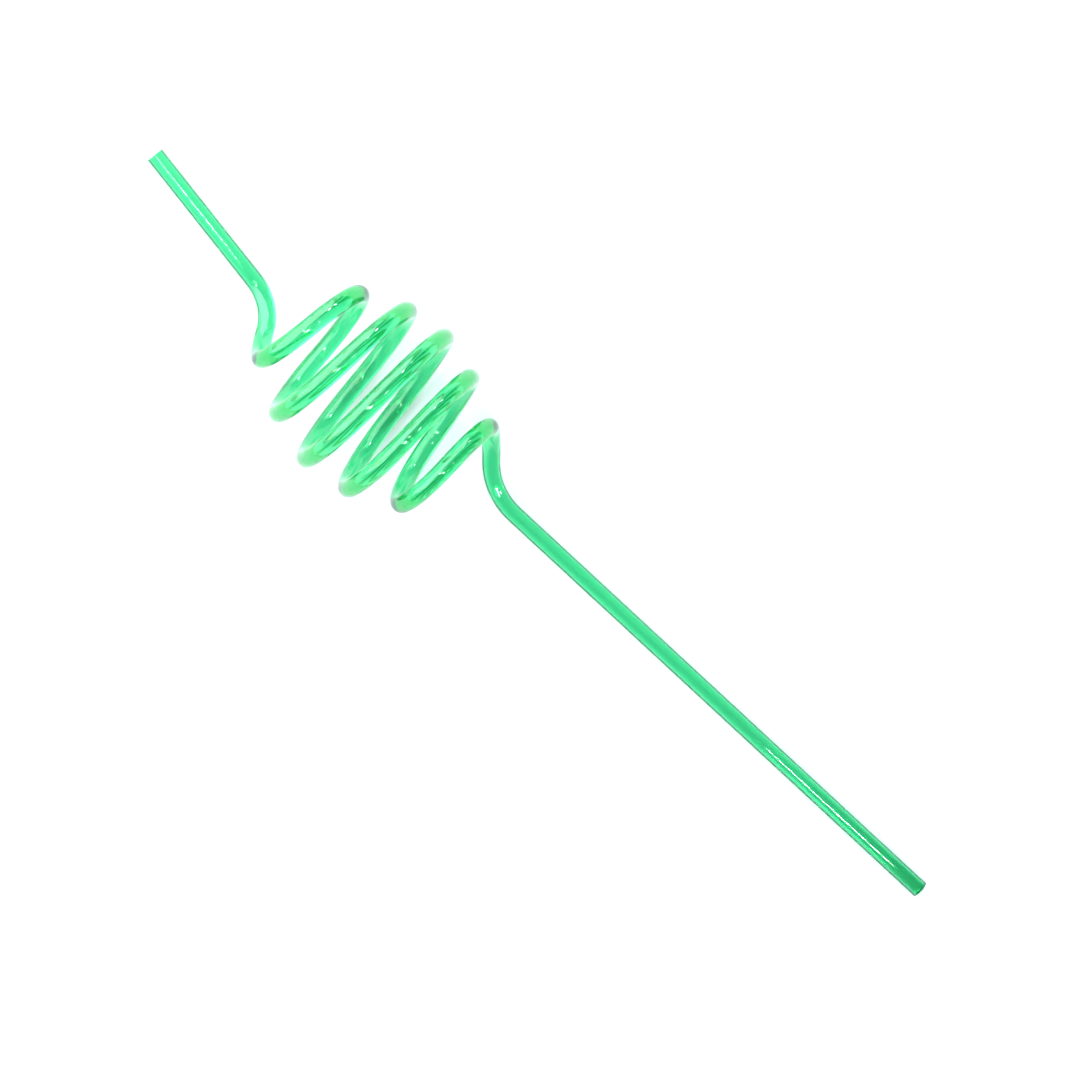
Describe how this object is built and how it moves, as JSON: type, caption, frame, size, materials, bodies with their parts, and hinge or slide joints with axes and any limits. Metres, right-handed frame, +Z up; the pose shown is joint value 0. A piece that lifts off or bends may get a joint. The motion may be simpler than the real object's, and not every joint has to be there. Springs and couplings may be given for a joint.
{
  "type": "plastic drinking straw",
  "caption": "Clear coloured plastic drinking straw with a short mouthpiece, a barrel-shaped coil and a long straight stem, lying at rest.",
  "frame": {"origin": "on the table under the middle of the straw's extent in X and Y, as it lies at rest", "axes": "+X along the coil's axis towards the stem's tip, +Y to the side on which the coil ends, +Z up from the table"},
  "size_m": [0.2884, 0.053, 0.0526],
  "materials": {
    "clear_plastic": "transparent green, extruded, high gloss"
  },
  "bodies": {
    "root": {"straw": "clear_plastic"}
  },
  "joints": []
}
